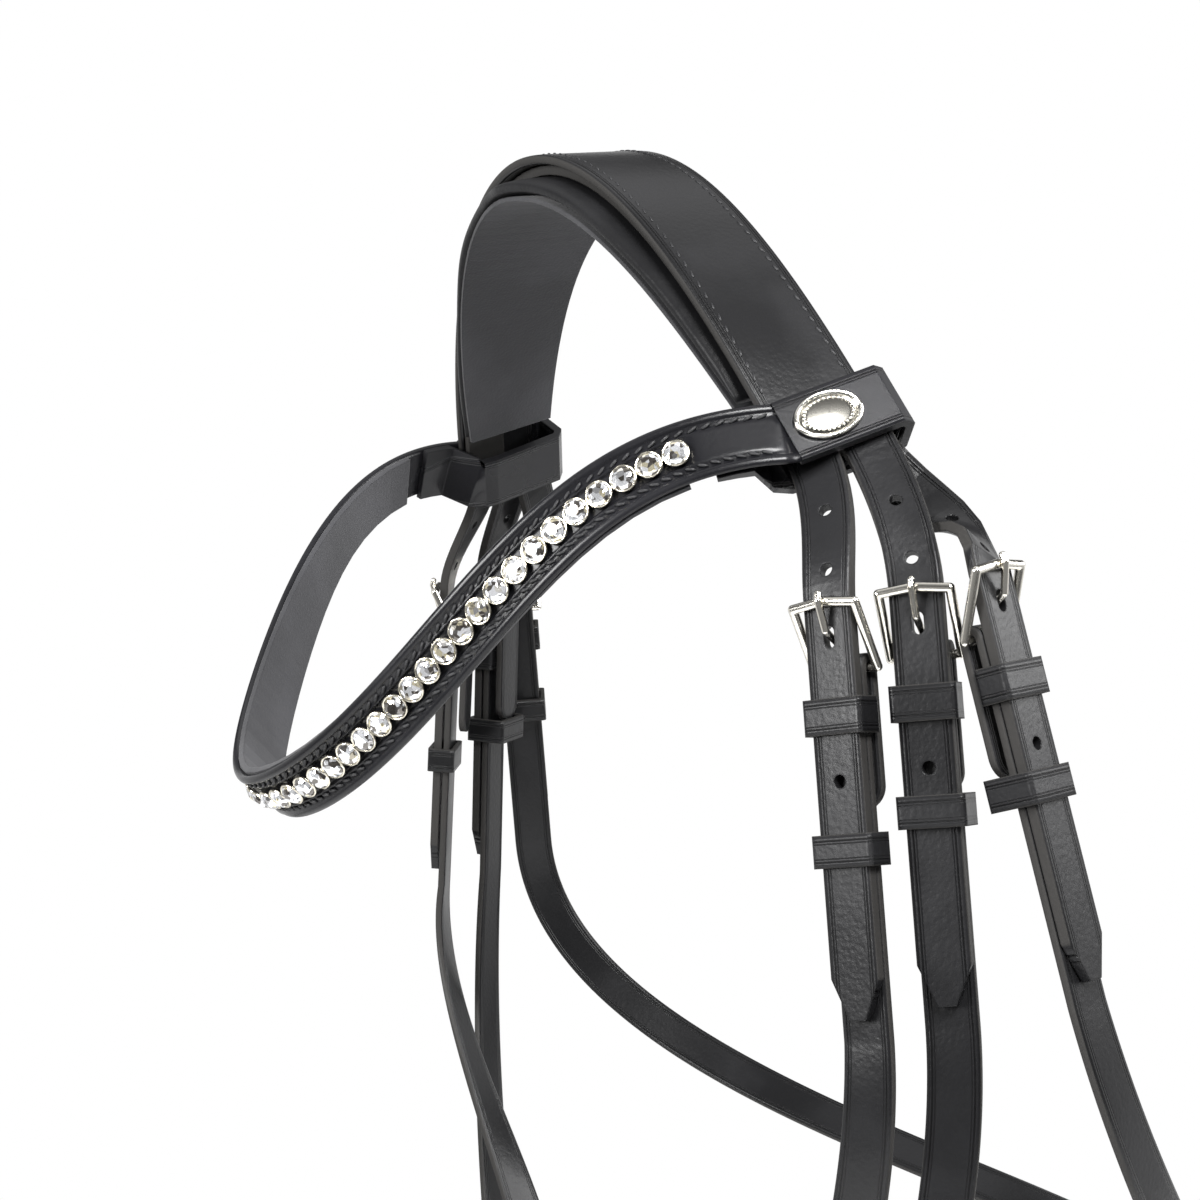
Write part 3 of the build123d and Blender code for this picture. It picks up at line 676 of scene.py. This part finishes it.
def cup():
    """Low metal ring with a rolled lip and scalloped claws."""
    sides = 24
    angle = np.linspace(0, 2 * np.pi, sides, endpoint=False)
    claw = 0.22 * (np.cos(angle * 6) > 0.2)
    rings = [(2.2, 0.0, 0), (3.05, 0.0, 0), (3.3, 0.35, 0), (3.22, 0.85, 1), (2.95, 1.0, 1), (2.8, 0.7, 0)]
    points = [(r * np.cos(a), r * np.sin(a), z + k * c) for r, z, k in rings for a, c in zip(angle, claw)]
    return np.array(points), grid_faces(len(rings), sides)


stone_at = np.arange(-EACH_SIDE, EACH_SIDE + 1) * PITCH
spots = stations(band, stone_at)
turn = np.arange(len(stone_at)) * 0.37
ax = spots["along"] * np.cos(turn)[:, None] + spots["across"] * np.sin(turn)[:, None]
ay = np.cross(spots["out"], ax)
axes = np.stack([ax, ay, spots["out"]], 1)
seats = spots["place"] - spots["out"] * 0.35
stones = repeat("browband_crystals", faceted_dome(), seats, axes, FINISH["crystal"], "headpiece",
                False)
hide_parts("crystals")
cups = repeat("browband_cups", cup(), seats, axes, FINISH["cup_metal"], "headpiece")
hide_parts("crystal_cups")
print("crystals set", len(stone_at))

# %% [markdown]
# ## Badge
# A plain oval badge is riveted on each loop: a polished rim round a shallow dome with a ring of small beads.

# %% Oval badges
def badge(side):
    """Oval dish with a raised rim, on the loop's outer face."""
    sign = np.array([1.0 if side == "left" else -1.0, 1, 1])
    along, rise, out = LOOP_ALONG * sign, LOOP_UP * sign, LOOP_OUT * sign
    middle = loop_point(10.6, 0) * sign
    angle = np.linspace(0, 2 * np.pi, 64, endpoint=False)
    for part, finish, rings in (
        ("rim", FINISH["badge_metal"], [(0.80, 0.0), (1.0, 0.0), (1.02, 0.7), (0.985, 1.25), (0.93, 1.45),
                                        (0.875, 1.2), (0.84, 0.8), (0.80, 0.6)]),
        ("dish", DARK_NICKEL, [(0.84, 0.05), (0.845, 0.8), (0.6, 1.05), (0.3, 1.2), (0.04, 1.25)]),
    ):
        points = np.array([middle + along * 8.4 * r * np.cos(a) + rise * 5.8 * r * np.sin(a) + out * z
                           for r, z in rings for a in angle])
        obj = mesh_object(f"badge_{side}_{part}", points, grid_faces(len(rings), 64), finish, "headpiece")
        if _inside_out(obj):
            obj.data.flip_normals()
        if part == "rim":
            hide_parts(f"badge_{side}")
    beads = np.linspace(0, 2 * np.pi, 30, endpoint=False)[:, None]
    places = middle + along * 6.0 * np.cos(beads) + rise * 3.9 * np.sin(beads) + out * 1.0
    axes = np.repeat(np.stack([along, rise, out])[None], 30, 0)
    repeat(f"badge_{side}_beads", capsule(0.75, 0.38), places, axes, FINISH["badge_metal"], "headpiece")


for side in ("left", "right"):
    badge(side)
print("badges placed")

# %% [markdown]
# ## Main straps
# A strap below its buckle is one long piece of leather: its folded end starts behind, turns round the
# buckle's bar, runs down behind the billet and then hangs free. One rounded cross-section follows all of it.

# %% Straps with their folded ends
def fold_line(kind):
    """Places and outward directions of a strap's folded end and straight front."""
    data = STRAPS[kind]
    top, down = np.array(data["top"], float), unit(np.array(data["down"], float))
    across = unit(np.cross(-down, azimuth_normal(data["azimuths"][-1])))
    normal = np.cross(across, -down)
    bar, turn = FRONT_FACE - STRAP_THICK - 1.13, 1.13 + STRAP_THICK / 2
    angle = np.linspace(0, np.pi, 15)[1:-1]
    v = np.concatenate([np.linspace(45, 14, 30), 14 - turn * np.sin(angle), np.linspace(14, STRAIGHT, 60)])
    n = np.concatenate([np.full(30, bar - turn), bar - turn * np.cos(angle), np.full(60, bar + turn)])
    facing = np.concatenate([np.full(30, -1.0), -np.cos(angle), np.full(60, 1.0)])
    rising = np.concatenate([np.zeros(30), np.sin(angle), np.zeros(60)])
    places = top + down * v[:, None] + normal * n[:, None]
    return places, normal * facing[:, None] - down * rising[:, None]


def free_line(start, points, outs, count=160):
    """Places and outward directions of the part that hangs free."""
    t = np.linspace(0, 1, count)[1:]
    return bezier([start, *points], t), bezier(outs, t)


def whole_strap(kind, points, azimuths, tail=None):
    """Folded end, straight run and free part, with an optional extra end."""
    places, outs = fold_line(kind)
    free, free_out = free_line(places[-1], points, [outs[-1], *azimuths])
    parts = [(places, outs), (free, free_out)] + ([tail] if tail else [])
    return np.concatenate([p for p, _ in parts]), np.concatenate([o for _, o in parts])


def strap_object(name, places, outs, body, replaced, tip=True):
    """Rounded strap along the line; its first end is rounded off like a tongue."""
    path = make_path(places, outs, 0.8)
    half = np.full(len(path["distance"]), 6.0)
    near = np.clip(path["distance"] / 5.4, 0.02, 1)
    half = half * np.sqrt(1 - (1 - near) ** 2) if tip else half
    section = strap_section(path, half, -STRAP_THICK / 2, STRAP_THICK / 2)
    obj = sweep(name, path, section, FINISH["leather_grain"], body)
    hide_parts(replaced)
    store_across(obj, section[..., 0], np.repeat(half, section.shape[1]))
    return obj


def strap_section(path, half, inner, outer, rounding=5.0):
    """Rounded slab of constant thickness and a half width that may change along the path."""
    outline = rounded(1, 0, 1, rounding, 40)
    half = np.broadcast_to(half, len(path["distance"]))
    section = np.zeros((len(half), 40, 2))
    corner = np.sign(outline[:, 0]) * np.abs(outline[:, 0]) ** 0.35
    section[..., 0] = corner[None] * half[:, None]
    section[..., 1] = inner + outline[None, :, 1] * (outer - inner)
    return section


# the cheekpiece ends in a fold for the bit's ring
across_bit = unit(np.cross(-cheek_down, cheek_face))
face_bit = np.cross(across_bit, -cheek_down)
angle = np.linspace(0, np.pi, 21)
bend_place = bit_loop + face_bit * 6.1 * np.cos(angle)[:, None] + cheek_down * 6.1 * np.sin(angle)[:, None]
bend_out = face_bit * np.cos(angle)[:, None] + cheek_down * np.sin(angle)[:, None]
back_v = np.linspace(0, 50, 40)[1:]
back_n = np.interp(back_v, [0, 5, 19, 50], [-6.1, -6.1, 3.5, 3.5])
back_place = bit_loop - cheek_down * back_v[:, None] + face_bit * back_n[:, None]
tail = (np.concatenate([bend_place, back_place]),
        np.concatenate([bend_out, np.repeat(-face_bit[None], 39, 0)]))

end = cheek_end + face_bit * 6.1
cheek_line = whole_strap("cheek", [cheek_start, end - cheek_down * 60, end], [cheek_face], tail)
hanger_line = whole_strap("noseband", hanger_points, [azimuth_normal(90)])
throat_line = whole_strap("throatlatch", throat_points, throat_outs)
mirror_x = np.array([-1.0, 1, 1])
for side, way in (("left", np.ones(3)), ("right", mirror_x)):
    strap_object(f"cheek_{side}_leather", cheek_line[0] * way, cheek_line[1] * way, f"cheek_{side}",
                 f"cheek_{side}_strap")
    strap_object(f"hanger_{side}_leather", hanger_line[0] * way, hanger_line[1] * way, "noseband",
                 f"noseband_{side}_hanger")
both = [np.concatenate([part, (part * mirror_x)[-2::-1]]) for part in throat_line]
strap_object("throatlatch_leather", both[0], both[1], "throatlatch", "throatlatch_strap")
print("straps hung")

# %% [markdown]
# ## Headpiece
# The top strap is two layers of flat leather over a soft pad. The pad is stuffed, so its outline is full in
# the middle and pinched at its sewn edges, and its surface has slow, shallow wrinkles.

# %% Headpiece path and padding
SKIN, POLL_PAD = 1.3, 6.0
HEAD_TOP = POLL_PAD + 0.3 + 2.4 + 0.3 + SKIN
head_low = loop_point(11.0, 4.6)
head_points = [(0, 0, HEAD_TOP), (52, 0, HEAD_TOP), head_low + LOOP_UP * 40, head_low]
head_t = np.linspace(0, 1, 160)
head_left = bezier(head_points, head_t)
head_out = bezier([(0, 0, 1), (0.5, 0, 1), LOOP_OUT], head_t)
sign = np.array([-1.0, 1, 1])


def head_path(share, step=2.0):
    """The headpiece from right to left, down to a share of the way to the loops."""
    count = int(share * (len(head_t) - 1)) + 1
    places = np.concatenate([(head_left[:count] * sign)[:0:-1], head_left[:count]])
    outs = np.concatenate([(head_out[:count] * sign)[:0:-1], head_out[:count]])
    return make_path(places, outs, step)


pad_line = head_path(0.87)
reach = np.abs(pad_line["distance"] - pad_line["distance"].mean()) / (pad_line["distance"][-1] / 2)
half_width = 22 + (14 - 22) * reach
pad_out = -SKIN - 0.3 - 2.4 - 0.3
pinch = 1 - 0.55 * smooth_step((reach - 0.9) / 0.1)
outline = rounded(1, 0, 1, 3.2, 48)
section = np.zeros((len(reach), 48, 2))
wave = 0.5 * np.sin(pad_line["distance"] / 9.0) * (1 - reach)
section[..., 0] = outline[None, :, 0] * (half_width - 0.3 + wave)[:, None]
section[..., 1] = pad_out - 4.9 / 2 + (outline[None, :, 1] - 0.5) * 4.9 * pinch[:, None]
pad = sweep("headpiece_pad", pad_line, section, FINISH["leather_padding"], "headpiece")
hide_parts("headpiece_padding")
plain_edge(pad)


top_line = head_path(1.0)
reach = np.abs(top_line["distance"] - top_line["distance"].mean()) / (top_line["distance"][-1] / 2)
half_top = 15 - 2.5 * reach
section = strap_section(top_line, half_top, -SKIN, SKIN)
top = sweep("headpiece_top", top_line, section, FINISH["leather_grain"], "headpiece")
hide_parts("headpiece_leather")
store_across(top, section[..., 0], np.repeat(half_top, section.shape[1]))
middle = top_line["distance"][-1] / 2
edge_line = {**top_line, "distance": top_line["distance"] - middle}
stitch_rows("headpiece_stitches", edge_line, (-10.4, 10.4), -middle + 12, middle - 12, 3.6, SKIN, "headpiece",
            length=2.4, radius=0.3, slant=0.2)
for name in ("noseband_headstrap", "headpiece_lining"):
    plain_edge(nodes[name])
print("headpiece rows", len(reach))

# %% [markdown]
# ## Nose piece
# The front of the noseband is padded: a wide leather front over a soft roll that rests on the nose.

# %% Noseband front and roll
angle = np.linspace(0, np.pi, 90)
nose_place = np.stack([84 * np.cos(angle), -105 * np.sin(angle), NOSE_LEVEL + 10 * np.sin(angle)], 1)
nose_out = np.stack([np.cos(angle) / 84, -np.sin(angle) / 105, np.zeros_like(angle)], 1)
nose_line = make_path(nose_place, nose_out)
section = strap_section(nose_line, 11.0, 0.0, 2.4)
nose = sweep("nose_front", nose_line, section, FINISH["leather_grain"], "noseband")
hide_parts("nose_leather")
store_across(nose, section[..., 0], 11.0)
outline = rounded(1, 0, 1, 2.6, 40)
inside = {k: v[3:-3] for k, v in nose_line.items()}
section = np.zeros((len(inside["distance"]), 40, 2))
section[..., 0] = outline[None, :, 0] * 10.8
section[..., 1] = -5.2 + outline[None, :, 1] * 5.1
roll_piece = sweep("nose_roll", inside, section, FINISH["leather_padding"], "noseband")
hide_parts("nose_padding")
plain_edge(roll_piece)
stitch_rows("nose_stitches", nose_line, (-8.0, 8.0), 8, nose_line["distance"][-1] - 8, 3.4, 2.4, "noseband",
            length=2.3, radius=0.3, slant=0.15)
for name in ("chin_strap", "chin_buckle_strap"):
    z = positions(nodes[name].data)[:, 2]
    store_across(nodes[name], z - NOSE_LEVEL, 6.0)
for name in ("chin_keeper", "chin_runner"):
    y = positions(nodes[name].data)[:, 1]
    store_across(nodes[name], y - (y.max() + y.min()) / 2, (y.max() - y.min()) / 2)
print("nose piece done")

# %% [markdown]
# ## Light and background
# Black gloss needs large soft lights. A pale floor lies far below, because the bridle hangs. The white
# world is dimmer on the near side, like a studio whose lamps stand among dark walls, so the leather stays
# black, and three soft boxes draw the brighter streaks on the straps.

# %% Stage
def soft_box(name, place, target, size, power):
    """Square area light aimed at a point, in millimetres."""
    lamp = bpy.data.lights.new(name, "AREA")
    lamp.size, lamp.energy = size, power
    obj = bpy.data.objects.new(name, lamp)
    bpy.context.scene.collection.objects.link(obj)
    place, target = np.array(place, float) * MM, np.array(target, float) * MM
    axis = unit(place - target)
    side = unit(np.cross([0, 0, 1.0], axis))
    over = np.cross(axis, side)
    pose = Matrix.Identity(4)
    for row in range(3):
        pose[row][0], pose[row][1], pose[row][2] = side[row], over[row], axis[row]
        pose[row][3] = place[row]
    obj.matrix_world = pose
    return obj


soft_box("key", (1000, -100, 700), (100, 0, -120), 0.5, 40)
soft_box("side", (500, 900, 300), (100, 0, -120), 0.6, 14)
soft_box("front", (300, -1100, 250), (60, 0, -120), 0.5, 24)

world = bpy.data.worlds.new("studio")
world.use_nodes = True
sky = world.node_tree
heading_up = add(sky, "ShaderNodeSeparateXYZ")
direction = add(sky, "ShaderNodeTexCoord").outputs["Generated"]
sky.links.new(direction, heading_up.inputs[0])
bands = add(sky, "ShaderNodeValToRGB")
sky.links.new(math(sky, "ADD", math(sky, "MULTIPLY", heading_up.outputs[2], 0.5), 0.5), bands.inputs[0])
steps = [(0.0, 0.25), (0.24, 0.25), (0.33, 1.0), (0.64, 1.0), (0.70, 0.06), (0.82, 0.06), (0.88, 1.0)]
while len(bands.color_ramp.elements) < len(steps):
    bands.color_ramp.elements.new(0.5)
for element, (at, grey) in zip(bands.color_ramp.elements, steps):
    element.position, element.color = at, (grey, grey, grey, 1)
sky.links.new(bands.outputs[0], sky.nodes["Background"].inputs["Color"])
NEAR_SIDE, NEAR_DIMMING = (0.924, -0.383, 0.0), 0.74
facing = add(sky, "ShaderNodeVectorMath", operation="DOT_PRODUCT")
sky.links.new(direction, facing.inputs[0])
facing.inputs[1].default_value = NEAR_SIDE
dim_side = math(sky, "MULTIPLY", ramp(sky, facing.outputs["Value"], -0.25, 0.35), NEAR_DIMMING)
sky.links.new(math(sky, "SUBTRACT", 1.0, dim_side), sky.nodes["Background"].inputs["Strength"])
bpy.context.scene.world = world
bpy.context.scene.view_settings.view_transform = "Standard"

floor_mesh = bpy.data.meshes.new("floor")
FLOOR_LEVEL = -0.8
floor_corners = [(x, y, FLOOR_LEVEL) for x, y in ((-1, -1), (1, -1), (1, 1), (-1, 1))]
floor_mesh.from_pydata(floor_corners, [], [(0, 1, 2, 3)])
floor = bpy.data.objects.new("floor", floor_mesh)
bpy.context.scene.collection.objects.link(floor)
paint = bpy.data.materials.new("floor paint")
paint.use_nodes = True
paint.node_tree.nodes["Principled BSDF"].inputs["Base Color"].default_value = (0.86, 0.86, 0.86, 1)
paint.node_tree.nodes["Principled BSDF"].inputs["Roughness"].default_value = 0.8
floor_mesh.materials.append(paint)
print("stage set")
